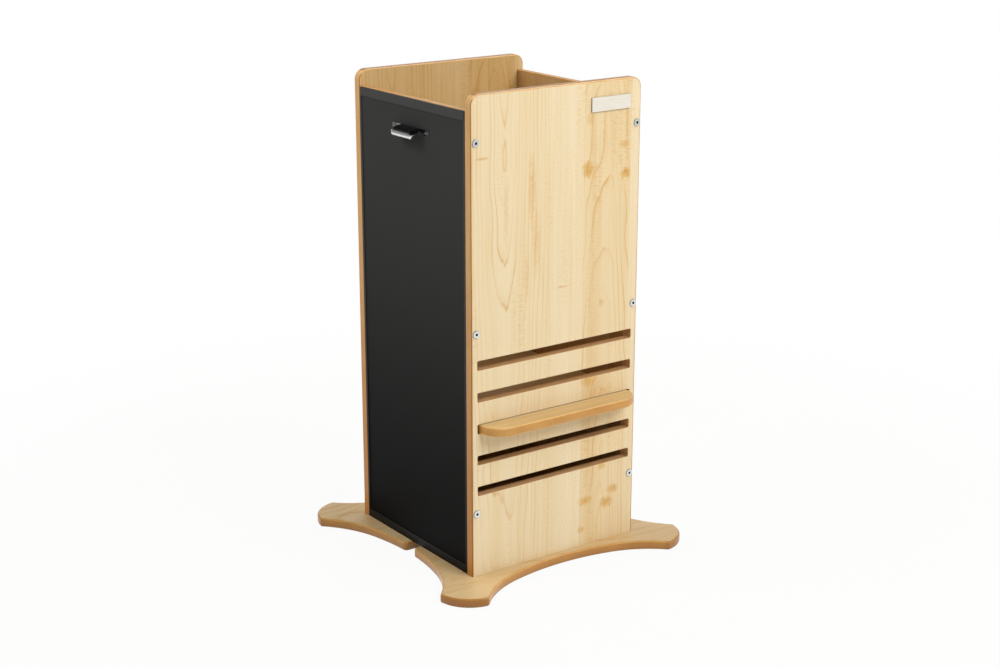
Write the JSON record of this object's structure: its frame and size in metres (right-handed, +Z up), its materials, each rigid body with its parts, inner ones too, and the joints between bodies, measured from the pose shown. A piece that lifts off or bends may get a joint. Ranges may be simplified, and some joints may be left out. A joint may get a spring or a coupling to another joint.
{
  "type": "learning tower",
  "caption": "Free-standing child's learning tower: slotted wooden sides, a slide-in platform set at one of several heights, a lift-out black writing board, and split hollow-sided feet.",
  "frame": {"origin": "centre of the footprint, on the floor under the feet", "axes": "+Z up; -Y is the front with the black writing board; +X is the side panel that carries the name plate"},
  "size_m": [0.5602, 0.5582, 0.918],
  "materials": {
    "maple_laminate": "satin maple-pattern laminate",
    "edge_banding": "smooth rounded edging, warm brown",
    "foot_wood": "lacquered board, rounded brown edge",
    "lipping_wood": "lacquered solid lipping",
    "writing_black": "matt black writing surface",
    "black_plastic": "satin black extrusion",
    "pull_chrome": "polished chrome",
    "fastener_steel": "zinc plated",
    "plate_metal": "satin champagne",
    "dowel_wood": "fluted beech"
  },
  "bodies": {
    "tower": {"side_panel_right": "maple_laminate", "side_panel_left": "maple_laminate", "side_edging_right": "edge_banding", "side_edging_left": "edge_banding", "front_panel": "maple_laminate", "front_top_edging": "edge_banding", "back_panel": "maple_laminate", "back_top_edging": "edge_banding", "board_guide_right": "black_plastic", "board_guide_left": "black_plastic", "board_footer_ledge": "black_plastic", "base_foot_right": "foot_wood", "base_foot_left": "foot_wood", "base_screws": "fastener_steel", "panel_dowels": "dowel_wood", "base_dowels": "dowel_wood", "connector_bolts_right": "fastener_steel", "connector_bolts_left": "fastener_steel", "barrel_nuts": "fastener_steel", "name_plate": "plate_metal", "name_plate_pins": "fastener_steel"},
    "platform": {"platform": "maple_laminate", "platform_edging": "lipping_wood"},
    "writing_board": {"writing_board": "writing_black", "board_header_rail": "black_plastic", "cup_pull": "pull_chrome", "pull_screws": "fastener_steel"}
  },
  "joints": [
    {"name": "platform_slide", "type": "slide", "parent": "tower", "child": "platform", "axis": [1, 0, 0], "range_m": [-0.42, 0.42]},
    {"name": "board_lift", "type": "slide", "parent": "tower", "child": "writing_board", "axis": [0, 0, 1], "range_m": [0, 0.83]}
  ]
}
